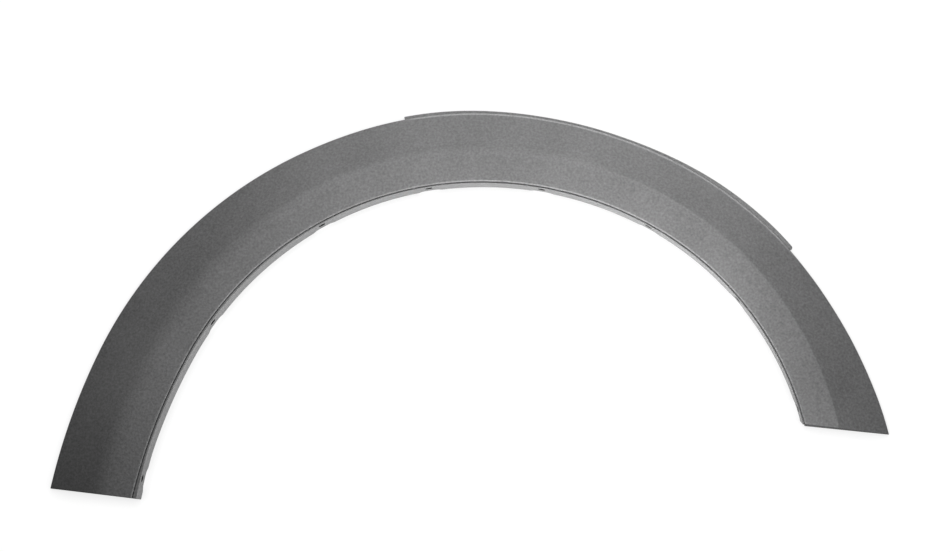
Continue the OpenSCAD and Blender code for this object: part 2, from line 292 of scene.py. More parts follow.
class FastenerCuts(PropertyGroup):
    """Holes and notches of the flange, and the gussets beside them."""

    hole_diameter: FloatProperty(
        name="Hole diameter", description="Diameter of the holes through the flange",
        default=0.0065, min=0.005, max=0.0066, precision=4, unit="LENGTH")
    hole_height: FloatProperty(
        name="Hole height", description="Height of the holes above the fender side",
        default=0.0162, min=0.015, max=0.0162, precision=4, unit="LENGTH")
    hole_chamfer: FloatProperty(
        name="Hole chamfer", description="Chamfer round each hole on the side that shows",
        default=0.0005, min=0.0001, max=0.0006, precision=5, unit="LENGTH")
    notch_length: FloatProperty(
        name="Notch length", description="Length of the notch in the free edge at each hole",
        default=0.024, min=0.02, max=0.026, precision=4, unit="LENGTH")
    notch_height: FloatProperty(
        name="Notch height", description="Height of the notch",
        default=0.0045, min=0.003, max=0.008, precision=4, unit="LENGTH")
    notch_round: FloatProperty(
        name="Notch rounding", description="Rounding of the notch's corners",
        default=0.0016, min=0.0005, max=0.002, precision=4, unit="LENGTH")
    gusset_wall: FloatProperty(
        name="Gusset wall", description="Thickness of the gussets beside each hole",
        default=0.0018, min=0.0012, max=0.0024, precision=4, unit="LENGTH")
    gusset_run: FloatProperty(
        name="Gusset run", description="How far the gussets run out under the face",
        default=0.02, min=0.012, max=0.024, precision=4, unit="LENGTH")
    gusset_margin: FloatProperty(
        name="Gusset margin", description="Distance along the arch from the notch to a gusset",
        default=0.002, min=0.001, max=0.004, precision=4, unit="LENGTH")


class OverlapLedge(PropertyGroup):
    """Thin ledge that stands out from the rim over the crown, under the next panel."""

    width: FloatProperty(
        name="Width", description="How far the ledge stands out from the rim over the crown",
        default=0.0022, min=0.0015, max=0.004, precision=4, unit="LENGTH")
    short_spread: FloatProperty(
        name="Short spread", description="How much farther it stands out over the short leg",
        default=0.0018, min=0.0005, max=0.003, precision=4, unit="LENGTH")
    long_spread: FloatProperty(
        name="Long spread", description="How much farther it stands out over the long leg",
        default=0.0008, min=0, max=0.002, precision=4, unit="LENGTH")
    wall: FloatProperty(
        name="Wall", description="Thickness of the ledge",
        default=0.0018, min=0.0012, max=0.0022, precision=4, unit="LENGTH")
    start: FloatProperty(
        name="Start", description="Direction of its end over the short leg",
        default=radians(47), min=radians(44), max=radians(56), subtype="ANGLE")
    end: FloatProperty(
        name="End", description="Direction of its end over the long leg",
        default=radians(107), min=radians(98), max=radians(112), subtype="ANGLE")
    corner: FloatProperty(
        name="Corner", description="Radius of the round end over the short leg",
        default=0.0024, min=0.001, max=0.003, precision=4, unit="LENGTH")
    edge_round: FloatProperty(
        name="Edge rounding", description="Rounding along the ledge's outer edge",
        default=0.0004, min=0.0001, max=0.0008, precision=5, unit="LENGTH")


class ClipSeats(PropertyGroup):
    """Boxed seats behind the face, each for one push-in clip."""

    length: FloatProperty(
        name="Length", description="Length of a clip seat along the arch",
        default=0.018, min=0.014, max=0.022, precision=4, unit="LENGTH")
    width: FloatProperty(
        name="Width", description="Width of a clip seat across the arch",
        default=0.015, min=0.012, max=0.018, precision=4, unit="LENGTH")
    run: FloatProperty(
        name="Run", description="Distance from the inner edge to the middle of a clip seat",
        default=0.021, min=0.019, max=0.022, precision=4, unit="LENGTH")
    height: FloatProperty(
        name="Height", description="Height of a clip seat's plate above the fender side",
        default=0.0045, min=0.003, max=0.007, precision=4, unit="LENGTH")
    wall: FloatProperty(
        name="Wall", description="Wall thickness of a clip seat",
        default=0.0018, min=0.0014, max=0.0022, precision=4, unit="LENGTH")
    neck: FloatProperty(
        name="Neck", description="Width of the clip's neck in the seat's slot",
        default=0.0062, min=0.005, max=0.008, precision=4, unit="LENGTH")


class GrainedPlastic(PropertyGroup):
    """Finish of the moulding: dark grey plastic with a fine moulded grain."""

    colour: FloatVectorProperty(
        name="Colour", description="Mean colour of the plastic",
        default=(0.165, 0.165, 0.166), min=0, max=1, subtype="COLOR")
    mottle: FloatProperty(
        name="Mottle", description="Share by which the grain's tone varies",
        default=0.37, min=0, max=1, subtype="FACTOR")
    mottle_size: FloatProperty(
        name="Mottle size", description="Size of the grain's light and dark spots",
        default=0.0022, min=0.0005, max=0.01, precision=4, unit="LENGTH")
    cloud_size: FloatProperty(
        name="Cloud size", description="Size of the faint patches left by the flow of the plastic",
        default=0.07, min=0.02, max=0.3, precision=3, unit="LENGTH")
    grain_size: FloatProperty(
        name="Grain size", description="Spacing of the pits of the moulded grain",
        default=0.0009, min=0.0003, max=0.003, precision=4, unit="LENGTH")
    grain_depth: FloatProperty(
        name="Grain depth", description="Depth of the moulded grain",
        default=0.00006, min=0, max=0.0003, precision=6, unit="LENGTH")
    roughness: FloatProperty(
        name="Roughness", description="Mean roughness of the grained face",
        default=0.42, min=0, max=1, subtype="FACTOR")
    # Painted shade: how dark the back inside the channel, the foot walls and the bores are painted
    painted_back_shade: FloatProperty(
        name="Back tone", description="Tone of the ungrained back, against the grained face",
        default=0.3, min=0, max=1, subtype="FACTOR")
    painted_bore_shade: FloatProperty(
        name="Bore tone", description="Tone of the holes' and notches' walls, against the face",
        default=0.05, min=0, max=1, subtype="FACTOR")
    back_roughness: FloatProperty(
        name="Back roughness", description="Roughness of the ungrained back and bores",
        default=0.8, min=0, max=1, subtype="FACTOR")
    # Painted highlights: how much lighter the inner edge's rounding and the rim below the ledge are
    # painted
    painted_edge_highlight: FloatProperty(
        name="Edge tone", description="Tone of the rubbed inner edge, against the grained face",
        default=1.7, min=1, max=3)
    painted_rim_highlight: FloatProperty(
        name="Rim tone", description="Tone of the rubbed rim, against the grained face",
        default=2.3, min=1, max=3)


class StudioSet(PropertyGroup):
    """Camera, floor and lamps."""

    camera_place: FloatVectorProperty(
        name="Camera place", description="Where the camera stands",
        default=(0.18173, -0.2543, 2.5), precision=4, subtype="TRANSLATION", unit="LENGTH")
    camera_aim: FloatVectorProperty(
        name="Camera aim", description="Point of the floor at the middle of the picture",
        default=(-0.01081, 0.04346, 0.0), precision=4, subtype="TRANSLATION", unit="LENGTH")
    camera_roll: FloatProperty(
        name="Camera roll", description="How far the picture's up is turned from the car's up",
        default=radians(6.13), subtype="ANGLE")
    lens: FloatProperty(
        name="Lens", description="Focal length on a 36 mm sensor",
        default=97.14, min=20, max=200, unit="CAMERA")
    floor_size: FloatProperty(
        name="Floor size", description="Edge of the square floor",
        default=12, min=2, max=40, unit="LENGTH")
    floor_albedo: FloatProperty(
        name="Floor albedo", description="Share of the light that the floor gives back",
        default=0.8, min=0, max=1, subtype="FACTOR")
    floor_white: FloatProperty(
        name="Floor white", description="Tone of the open floor in the picture, lamplight aside",
        default=0.98, min=0, max=1, subtype="FACTOR")
    floor_lit: FloatProperty(
        name="Floor lamplight", description="Share of the lamplight that shows on the floor",
        default=0.12, min=0, max=1, subtype="FACTOR")
    cover_reach: FloatProperty(
        name="Cover reach", description="Distance within which something over the floor darkens it",
        default=0.1, min=0.02, max=0.3, precision=3, unit="LENGTH")
    contact_shade: FloatProperty(
        name="Contact shade", description="Share of its whiteness that closed-in floor loses",
        default=0.35, min=0, max=1, subtype="FACTOR")
    contact_reach: FloatProperty(
        name="Contact shadow reach", description="Distance over which the moulding darkens the floor",
        default=0.013, min=0.005, max=0.2, precision=3, unit="LENGTH")
    floor_mirrored: FloatProperty(
        name="Floor in reflections", description="Tone of the floor as a reflection shows it",
        default=1.0, min=0, max=5)
    sky: FloatProperty(
        name="Sky", description="Strength of the soft light from all round",
        default=0.0, min=0, max=2)


# Lamps of the studio: where each stands, its edge in metres and its power in watts
LAMP_AIM = Vector((0, 0.03, 0.01))
LAMPS = [
    Lamp("back_softbox", Vector((0, 2.07, 0.75)), 1.0, 6.5),
    Lamp("short_side_panel", Vector((0.3, 0.6, 0.6)), 0.5, 2.54),
    Lamp("long_side_panel", Vector((-0.3, 0.6, 0.6)), 0.5, 1.81),
    Lamp("short_leg_panel", Vector((0.3, -0.15, 0.3)), 0.3, 0.67),
    Lamp("short_leg_glow", Vector((0.15, -0.1, 0.15)), 0.2, 0.48),
    Lamp("short_crown_glow", Vector((0.1, 0, 0.25)), 0.25, 0.34),
    Lamp("long_leg_glow", Vector((-0.1, 0, 0.25)), 0.25, 0.24),
    Lamp("low_glow", Vector((0, -0.35, 0.15)), 0.25, 0.38),
    Lamp("middle_glow", Vector((0, -0.2, 0.25)), 0.3, 0.27),
    Lamp("long_foot_glow", Vector((-0.3, -0.15, 0.2)), 0.3, 0.05),
    Lamp("long_end_glow", Vector((-0.6, 0, 0.25)), 0.4, 0.05),
]


def settings():
    """The scene, which carries every group of settings."""
    return bpy.context.scene


def heading(angle):
    """Unit vector in a direction from the wheel centre."""
    return np.array([np.cos(angle), np.sin(angle)])


def ease(start, end, value):
    """Smooth step from 0 to 1 between two values."""
    t = np.clip((value - start) / (end - start), 0, 1)
    return t * t * (3 - 2 * t)


def rise(span, angle):
    """Smooth step from 0 to 1 over a span of directions in degrees."""
    start, end = span
    return ease(radians(start), radians(end), angle)


def reach(arc, angle):
    """Distance from the wheel centre to an arc's circle in a direction."""
    along = arc.centre @ heading(angle)
    return along + np.sqrt(arc.radius**2 - arc.centre @ arc.centre + along**2)


def carried_on(arc, radius, angle):
    """The arc of another radius that carries on from this one in a direction."""
    joint = heading(angle) * reach(arc, angle)
    return Arc(joint + (arc.centre - joint) * radius / arc.radius, radius)


def inner_arcs():
    """The four tangent arcs of the inner edge, from the short leg to the long one."""
    edges = settings().arch_edges
    crown = Arc(np.array([0, edges.arch_height - edges.crown_radius]), edges.crown_radius)
    short_shoulder = carried_on(crown, edges.short_shoulder_radius, SHORT_SHOULDER_END)
    long_shoulder = carried_on(crown, edges.long_shoulder_radius, LONG_SHOULDER_START)
    long_leg = carried_on(long_shoulder, edges.long_leg_radius, LONG_LEG_START)
    return [short_shoulder, crown, long_shoulder, long_leg]


def inner_arc_at(angle):
    """The arc that the inner edge follows in a direction."""
    ends = (SHORT_SHOULDER_END, LONG_SHOULDER_START, LONG_LEG_START)
    return inner_arcs()[sum(angle >= end for end in ends)]


def inner_reach(angle):
    """Distance from the wheel centre to the inner edge."""
    short_shoulder, crown, long_shoulder, long_leg = (reach(a, angle) for a in inner_arcs())
    return np.select(
        [angle < SHORT_SHOULDER_END, angle < LONG_SHOULDER_START, angle < LONG_LEG_START],
        [short_shoulder, crown, long_shoulder], long_leg)


def outer_arcs():
    """The two tangent arcs of the outer edge."""
    edges = settings().arch_edges
    arc = Arc(np.array([-edges.outer_shift, -edges.outer_drop]), edges.outer_radius)
    return [arc, carried_on(arc, edges.outer_leg_radius, OUTER_LEG_START)]


def swell(angle):
    """How far the outer edge stands off its arcs."""
    edges = settings().arch_edges
    return (
        edges.short_swell * (rise(SHORT_SWELL_IN, angle) - rise(SHORT_SWELL_OUT, angle))
        + edges.long_swell * (rise(LONG_SWELL_IN, angle) - rise(LONG_SWELL_OUT, angle))
        - edges.leg_tuck * (rise(LEG_TUCK_IN, angle) - rise(LEG_TUCK_OUT, angle)))


def outer_reach(angle):
    """Distance from the wheel centre to the outer edge."""
    arc, leg = (reach(a, angle) for a in outer_arcs())
    return np.where(angle < OUTER_LEG_START, arc, leg) + swell(angle)


def ledge_reach(angle):
    """Distance from the wheel centre to the ledge's outer edge."""
    ledge = settings().overlap_ledge
    short_spread = ledge.short_spread * (1 - rise(SHORT_SPREAD_OUT, angle))
    long_spread = ledge.long_spread * rise(LONG_SPREAD_IN, angle)
    return outer_reach(angle) + ledge.width + short_spread + long_spread


def crease_at(angle):
    """Distance across the face from its inner edge to the crease."""
    face = settings().face_section
    return face.crease_run + face.crease_spread * rise(CREASE_SPREAD_IN, angle)


def set_in(angle):
    """How far the flange's inner side stands in from the face's inner edge."""
    flange = settings().flange_section
    leg_in = flange.leg_in * rise(LEG_IN_SPAN, angle)
    toe_in = flange.toe_in * rise(TOE_IN_SPAN, angle)
    return flange.groove_width + flange.bead_width + leg_in + toe_in


def face_height(angle, run):
    """Height of the face at a distance out from its inner edge, its roundings left out."""
    face = settings().face_section
    crease = crease_at(angle)
    width = outer_reach(angle) - inner_reach(angle)
    t = np.maximum(0, (run - crease) / (width - crease))
    crease_height = face.depth - face.crease_drop
    inner_facet = face.depth - face.crease_drop * run / crease
    outer_facet = crease_height - (crease_height - face.rim_height) * t
    return np.where(run < crease, inner_facet, outer_facet - 4 * face.facet_hollow * t * (1 - t))


def spot(distance, height):
    """One point of a section for a row of directions."""
    return np.stack(np.broadcast_arrays(distance, height), axis=-1)


def corner(before, at, after, size, steps):
    """Points of a rounded corner that takes up a length of each of its sides."""
    size = np.reshape(size, (-1, 1))
    start = at + size * (before - at) / np.linalg.norm(before - at, axis=-1, keepdims=True)
    end = at + size * (after - at) / np.linalg.norm(after - at, axis=-1, keepdims=True)
    return [
        (1 - t) ** 2 * start + 2 * t * (1 - t) * at + t**2 * end
        for t in np.linspace(0, 1, steps + 1)
    ]


def between(start, end, count):
    """Points inside a straight, its two ends left out."""
    return [start + (end - start) * i / (count + 1) for i in range(1, count + 1)]


def crease_rounding(angle):
    """Rounding of the crease, which grows from the short leg to the crown and down the long leg."""
    face = settings().face_section
    soft = (face.soft_crease - face.sharp_crease) * rise(SOFT_CREASE_IN, angle)
    softer = (face.leg_crease - face.soft_crease) * rise(LEG_CREASE_IN, angle)
    return face.sharp_crease + soft + softer


def skin_section(angle):
    """The section's outside, from under the rim over the face to under the flange."""
    face = settings().face_section
    flange = settings().flange_section
    inner = inner_reach(angle)
    outer = outer_reach(angle)
    crease = crease_at(angle)
    facet = outer - inner - crease

    def on_face(run):
        return spot(inner + run, face_height(angle, run))

    under_rim = spot(outer - face.rim_wall, 0)
    rim_foot = spot(outer, 0)
    rim_top = spot(outer, face.rim_height)
    outer_facet = [on_face(crease + facet * share) for share in OUTER_FACET_SHARES]
    crease_top = on_face(crease)
    inner_facet = [on_face(crease * share) for share in INNER_FACET_SHARES]
    edge = spot(inner, face.depth)
    groove_floor = face.depth - flange.groove_depth
    groove_out = spot(inner, groove_floor)
    groove_in = spot(inner - flange.groove_width, groove_floor)
    bead_out = spot(inner - flange.groove_width, face.depth - flange.bead_drop)
    bead_in = spot(inner - set_in(angle), face.depth - flange.bead_drop)
    free_edge = spot(inner - set_in(angle) - flange.draft, 0)
    under_flange = spot(inner, 0)
    return [
        *corner(under_rim, rim_foot, rim_top, flange.free_round, steps=3),
        *corner(rim_foot, rim_top, outer_facet[0], face.rim_round, steps=6),
        *outer_facet,
        *corner(outer_facet[-1], crease_top, inner_facet[0], crease_rounding(angle), steps=8),
        *inner_facet,
        *corner(inner_facet[-1], edge, groove_out, face.edge_round, steps=8),
        *corner(edge, groove_out, groove_in, flange.groove_round, steps=3),
        *corner(groove_out, groove_in, bead_out, flange.groove_round, steps=3),
        *corner(groove_in, bead_out, bead_in, flange.groove_round / 2, steps=2),
        *corner(bead_out, bead_in, free_edge, flange.bead_round, steps=4),
        *between(bead_in, free_edge, count=5),
        *corner(bead_in, free_edge, under_flange, flange.free_round, steps=3),
    ]


def channel_section(angle):
    """The section's hollow side, from inside the rim under the face to inside the flange."""
    face = settings().face_section
    flange = settings().flange_section
    inner = inner_reach(angle)
    outer = outer_reach(angle)
    width = outer - inner
    crease = crease_at(angle)
    rim_run = width - face.rim_wall
    backing_run = BACKING_RUN * face.wall
    flange_side = inner - set_in(angle) + flange.flange_wall

    def under_face(run):
        return spot(inner + run, face_height(angle, run) - face.wall)

    rim_foot = spot(outer - face.rim_wall, 0)
    rim_corner = under_face(rim_run)
    outer_facet = [under_face(run) for run in between(rim_run, crease, count=6)]
    inner_facet = [under_face(run) for run in between(crease, backing_run, count=4)]
    backing = under_face(backing_run)
    flange_corner = spot(
        flange_side, face.depth - flange.groove_depth - BACKING_DROP * face.wall)
    flange_foot = spot(flange_side - flange.draft, 0)
    return [
        rim_foot,
        *corner(rim_foot, rim_corner, outer_facet[0], flange.free_round, steps=3),
        *outer_facet,
        *corner(outer_facet[-1], under_face(crease), inner_facet[0], face.wall / 2, steps=4),
        *inner_facet,
        *corner(inner_facet[-1], backing, flange_corner, face.wall / 3, steps=3),
        *corner(backing, flange_corner, flange_foot, face.wall / 3, steps=4),
        *between(flange_corner, flange_foot, count=4),
        flange_foot,
    ]


def short_foot_x():
    """Where the outer edge crosses the line of the short leg's foot."""
    arc, _ = outer_arcs()
    height = settings().arch_edges.short_foot - arc.centre[1]
    return arc.centre[0] + np.sqrt(arc.radius**2 - height**2)


def long_foot_x():
    """Where the outer edge crosses the line of the long leg's foot."""
    _, leg = outer_arcs()
    depth = settings().arch_edges.long_foot + leg.centre[1]
    return leg.centre[0] - np.sqrt(leg.radius**2 - depth**2)


def short_foot_line(x):
    """Height of the short leg's foot."""
    return settings().arch_edges.short_foot


def long_foot_line(x):
    """Height of the long leg's foot, which slopes down from the outer edge."""
    edges = settings().arch_edges
    return -edges.long_foot - (x - long_foot_x()) * tan(edges.foot_slope)


def foot_angles(section, line, inset, straight_out):
    """Direction of each of a section's points where the band meets the line of a foot."""
    every = np.arange(len(section(np.array([np.pi / 2]))))
    angles = np.full(len(every), straight_out)
    for _ in range(SETTLE_ROUNDS):
        distances = np.array(section(angles))[every, every, 0]
        height = line(distances * np.cos(angles)) + inset
        angles = straight_out + np.arcsin(height / distances) * cos(straight_out)
    return angles


def swept(section, inset):
    """Rings of points from one foot to the other, each foot drawn in by an inset."""
    edges = settings().arch_edges
    first = foot_angles(section, short_foot_line, inset, 0.0)
    last = foot_angles(section, long_foot_line, inset, np.pi)
    share = np.linspace(0, 1, edges.stations)
    rows = []
    for j in range(len(first)):
        angle = first[j] + (last[j] - first[j]) * share
        distance, height = np.array(section(angle)[j]).T
        rows.append(np.stack([distance * np.cos(angle), distance * np.sin(angle), height], -1))
    return np.stack(rows, axis=1)


def foot_rings(ring, size):
    """Two smaller rings beyond the last one, which round off the edges of a foot."""
    plan = ring[:, [0, 2]]
    tangent = np.roll(plan, -1, axis=0) - np.roll(plan, 1, axis=0)
    normal = np.stack([tangent[:, 1], -tangent[:, 0]], -1)
    normal /= np.linalg.norm(normal, axis=1, keepdims=True)
    area = np.sum(plan[:, 0] * np.roll(plan[:, 1], -1) - plan[:, 1] * np.roll(plan[:, 0], -1))
    inward = -normal * np.sign(area)
    rings = []
    for shrink, step in FOOT_RINGS:
        smaller = ring.copy()
        smaller[:, [0, 2]] += inward * size * shrink
        smaller[:, 1] -= size * step
        rings.append(smaller)
    return rings


def strip(first, second, closed):
    """Quads between two rows of vertex numbers, and between their ends if they are closed."""
    count = len(first) if closed else len(first) - 1
    following = [(j + 1) % len(first) for j in range(count)]
    return [(first[j], first[k], second[k], second[j]) for j, k in enumerate(following)]


def skinned(rings):
    """A closed mesh that runs through rings of equally many points, flat at both ends."""
    count = len(rings[0])
    rows = [list(range(i * count, (i + 1) * count)) for i in range(len(rings))]
    faces = [quad for near, far in zip(rows, rows[1:]) for quad in strip(near, far, closed=True)]
    faces += [tuple(rows[0]), tuple(rows[-1])]
    return [point for ring in rings for point in ring], faces


def closed_piece(name, vertices, faces, move=None):
    """An object made from a closed mesh, with its faces turned outwards."""
    shape = bmesh.new()
    added = [shape.verts.new(v) for v in vertices]
    for face in faces:
        shape.faces.new([added[i] for i in face])
    bmesh.ops.recalc_face_normals(shape, faces=shape.faces)
    if any(not edge.is_manifold for edge in shape.edges):
        raise RuntimeError(f"{name} isn't a closed mesh")
    mesh = bpy.data.meshes.new(name)
    shape.to_mesh(mesh)
    shape.free()
    if move is not None:
        mesh.transform(move)
    made = bpy.data.objects.new(name, mesh)
    settings().collection.objects.link(made)
    return made


def band():
    """The band between its feet: skin, channel, the two lower edges and the foot walls."""
    edges = settings().arch_edges
    size = edges.foot_round
    skin = swept(skin_section, size)
    short_end = foot_rings(skin[0], size)
    long_end = foot_rings(skin[-1], size)
    skin = np.concatenate([short_end[::-1], skin, long_end])
    channel = swept(channel_section, edges.foot_wall)
    outside = np.arange(skin.shape[0] * skin.shape[1]).reshape(skin.shape[:2])
    inside = outside.size + np.arange(channel.shape[0] * channel.shape[1]).reshape(
        channel.shape[:2])
    faces = []
    last = len(outside) - 1
    extra = len(short_end)
    for i in range(last):
        at_foot = i < extra or i >= last - extra
        faces += strip(outside[i], outside[i + 1], closed=at_foot)
    for i in range(len(inside) - 1):
        faces += strip(inside[i], inside[i + 1], closed=False)
        near, far = outside[i + extra], outside[i + extra + 1]
        faces.append((near[0], far[0], inside[i + 1][0], inside[i][0]))
        faces.append((near[-1], far[-1], inside[i + 1][-1], inside[i][-1]))
    for ring, hollow in ((outside[extra], inside[0]), (outside[last - extra], inside[-1])):
        faces.append((ring[0], ring[-1], hollow[-1], hollow[0]))
    faces += [tuple(outside[0]), tuple(outside[-1]), tuple(inside[0]), tuple(inside[-1])]
    vertices = np.concatenate([skin.reshape(-1, 3), channel.reshape(-1, 3)])
    return vertices.tolist(), [tuple(int(i) for i in face) for face in faces]


def prism(outline, low, high):
    """A closed prism: an outline in X and Y, drawn up from low to high."""
    count = len(outline)
    vertices = [(x, y, low) for x, y in outline] + [(x, y, high) for x, y in outline]
    floor = list(range(count))
    roof = list(range(count, 2 * count))
    return vertices, [*strip(floor, roof, closed=True), tuple(floor), tuple(roof)]


def joined_shapes(shapes):
    """Several meshes' vertices and faces as one."""
    vertices, faces = [], []
    for more_vertices, more_faces in shapes:
        start = len(vertices)
        vertices += more_vertices
        faces += [tuple(i + start for i in face) for face in more_faces]
    return vertices, faces


def placed(shape, matrix):
    """A mesh's vertices moved by a matrix, with its faces."""
    vertices, faces = shape
    return [tuple(matrix @ Vector(v)) for v in vertices], faces


def at_wall(angle):
    """Place on the inner edge, with X pointing out square to the wall and Z outboard."""
    foot = heading(angle) * inner_reach(angle)
    out = foot - inner_arc_at(angle).centre
    turn = Matrix.Rotation(np.arctan2(out[1], out[0]), 4, "Z")
    return Matrix.Translation((*foot, 0)) @ turn


# Turns that lay a prism's outline in the plane across the wall or along it
ACROSS = Matrix(((1, 0, 0, 0), (0, 0, 1, 0), (0, 1, 0, 0), (0, 0, 0, 1)))
ALONG = Matrix(((0, 0, 1, 0), (1, 0, 0, 0), (0, 1, 0, 0), (0, 0, 0, 1)))


def combine(piece, tool, operation):
    """Joins a closed mesh to the piece or cuts it out, and removes the tool."""
    modifier = piece.modifiers.new(operation.title(), "BOOLEAN")
    modifier.operation = operation
    modifier.solver = "MANIFOLD"
    modifier.object = tool
    depsgraph = bpy.context.evaluated_depsgraph_get()
    mesh = bpy.data.meshes.new_from_object(piece.evaluated_get(depsgraph))
    piece.modifiers.remove(modifier)
    old = piece.data
    if len(mesh.polygons) == len(old.polygons):
        raise RuntimeError(f"{tool.name} changed nothing on {piece.name}")
    piece.data = mesh
    bpy.data.meshes.remove(old)
    bpy.data.meshes.remove(tool.data)


def wheel_centre():
    """Where the wheel centre lies in the frame, from the middle of the trim's footprint."""
    top = np.max(ledge_reach(CROWN_SEARCH) * np.sin(CROWN_SEARCH))
    toe = np.pi + np.arcsin(settings().arch_edges.long_foot / inner_reach(np.pi))
    free_edge = inner_reach(toe) - set_in(toe) - settings().flange_section.draft
    bottom = long_foot_line(free_edge * np.cos(toe))
    middle = (TRIM_LOW + TRIM_HIGH) / 2
    return Vector((
        middle.x - (short_foot_x() + long_foot_x()) / 2, middle.y - (top + bottom) / 2, 0))


def moulding():
    """The piece, which the first operator makes."""
    piece = bpy.data.objects.get(PIECE)
    if piece is None:
        raise RuntimeError("Mould the band first")
    return piece


def add_to_piece(name, shapes, operation):
    """Builds shapes drawn round the wheel centre and combines them with the piece."""
    vertices, faces = joined_shapes(shapes)
    tool = closed_piece(name, vertices, faces, Matrix.Translation(wheel_centre()))
    combine(moulding(), tool, operation)


class ARCHTRIM_OT_band(Operator):
    """Sweep the band's section round the wheel opening and close both feet"""

    bl_idname = "archtrim.band"
    bl_label = "Mould the Band"

    def execute(self, context):
        closed_piece(PIECE, *band(), Matrix.Translation(wheel_centre()))
        return {"FINISHED"}


def ledge_ring(root, outer):
    """Section of the ledge from the rim to its outer edge, whose upper corner is rounded."""
    ledge = settings().overlap_ledge
    size = ledge.edge_round
    back = outer + (root - outer) / np.linalg.norm(root - outer) * size
    shoulder = outer + (back - outer) * LEDGE_SHOULDER
    return [
        (*root, 0), (*outer, 0), (*outer, ledge.wall - size),
        (*shoulder, ledge.wall - LEDGE_SHOULDER * size), (*back, ledge.wall), (*root, ledge.wall),
    ]


def ledge_shapes():
    """The ledge's two bodies: its sweep along the rim, and the round end over the short leg."""
    ledge = settings().overlap_ledge
    lap = settings().face_section.rim_wall / 2
    sweep = [
        ledge_ring(heading(a) * (outer_reach(a) - lap), heading(a) * ledge_reach(a))
        for a in np.linspace(ledge.start, ledge.end, LEDGE_SECTIONS)
    ]
    middle = ledge_reach(ledge.start) - ledge.corner
    out = heading(ledge.start)
    along = np.array([out[1], -out[0]])
    nose = []
    for turn in np.linspace(-CLEAR / ledge.corner, NOSE_TURN, NOSE_SECTIONS):
        half = ledge.corner * np.cos(turn)
        spine = out * middle + along * ledge.corner * np.sin(turn)
        nose.append(ledge_ring(spine - out * half, spine + out * half))
    return skinned(sweep), skinned(nose)


class ARCHTRIM_OT_ledge(Operator):
    """Join the thin ledge to the rim over the crown"""

    bl_idname = "archtrim.ledge"
    bl_label = "Add the Ledge"

    def execute(self, context):
        for shape in ledge_shapes():
            add_to_piece("ledge_tool", [shape], "UNION")
        return {"FINISHED"}


def gusset_shapes(angle):
    """The two ribs that tie the flange to the face beside a hole."""
    face = settings().face_section
    cuts = settings().fastener_cuts
    top = face.depth - face.wall / 2
    slope = (top - face.rim_height) / (cuts.gusset_run + CLEAR)
    fall = face.crease_drop / face.crease_run
    run = (top - face.rim_height - slope * CLEAR) / (slope + fall)
    outline = [(-CLEAR, face.rim_height), (run, top - fall * run), (-CLEAR, top)]
    apart = cuts.notch_length / 2 + cuts.gusset_margin
    half = cuts.gusset_wall / 2
    return [
        placed(prism(outline, side * apart - half, side * apart + half), at_wall(angle) @ ACROSS)
        for side in (-1, 1)
    ]


class ARCHTRIM_OT_gussets(Operator):
    """Stand two ribs behind the flange beside every fastener hole"""

    bl_idname = "archtrim.gussets"
    bl_label = "Add the Gussets"

    def execute(self, context):
        shapes = [shape for angle in HOLE_ANGLES for shape in gusset_shapes(angle)]
        add_to_piece("gusset_tool", shapes, "UNION")
        return {"FINISHED"}


def slot_outline():
    """The clip's slot: round at its end and open, with a flared mouth, to the outer side."""
    seats = settings().clip_seats
    neck = seats.neck / 2
    mouth = seats.width / 2
    back = [(neck * cos(radians(a)), neck * sin(radians(a))) for a in SLOT_TURNS]
    flare = neck / 2
    lower = [(mouth - flare, -neck), (mouth, -neck - flare / 2), (mouth + CLEAR, -neck - flare / 2)]
    upper = [(x, -y) for x, y in reversed(lower)]
    return back + lower + upper


def seat_shape():
    """One clip seat round its own middle, made from its block, cavity and slot."""
    face = settings().face_section
    seats = settings().clip_seats
    half_width = seats.width / 2
    half_length = seats.length / 2
    fall = face.crease_drop / face.crease_run

    def roof(x):
        return face.depth - face.wall / 2 - fall * (seats.run + x)

    block_outline = [
        (-half_width, seats.height), (half_width, seats.height),
        (half_width, roof(half_width)), (-half_width, roof(-half_width)),
    ]
    inner_x = seats.wall - half_width
    plate = seats.height + seats.wall
    cavity_outline = [
        (inner_x, plate), (half_width + CLEAR, plate),
        (half_width + CLEAR, face.depth), (inner_x, face.depth),
    ]
    solid = placed(prism(block_outline, -half_length, half_length), ACROSS)
    block = closed_piece("clip_seat", *solid)
    cavity_half = half_length - seats.wall
    cavity = placed(prism(cavity_outline, -cavity_half, cavity_half), ACROSS)
    combine(block, closed_piece("cavity_tool", *cavity), "DIFFERENCE")
    slot = prism(slot_outline(), seats.height - CLEAR, plate + CLEAR)
    combine(block, closed_piece("slot_tool", *slot), "DIFFERENCE")
    shape = (
        [tuple(v.co) for v in block.data.vertices],
        [tuple(p.vertices) for p in block.data.polygons],
    )
    bpy.data.meshes.remove(block.data)
    return shape


class ARCHTRIM_OT_clip_seats(Operator):
    """Stand a boxed clip seat behind the face between each two fastener holes"""

    bl_idname = "archtrim.clip_seats"
    bl_label = "Add the Clip Seats"

    def execute(self, context):
        seat = seat_shape()
        out = Matrix.Translation((context.scene.clip_seats.run, 0, 0))
        shapes = [placed(seat, at_wall(angle) @ out) for angle in SEAT_ANGLES]
        add_to_piece("seat_tool", shapes, "UNION")
        return {"FINISHED"}


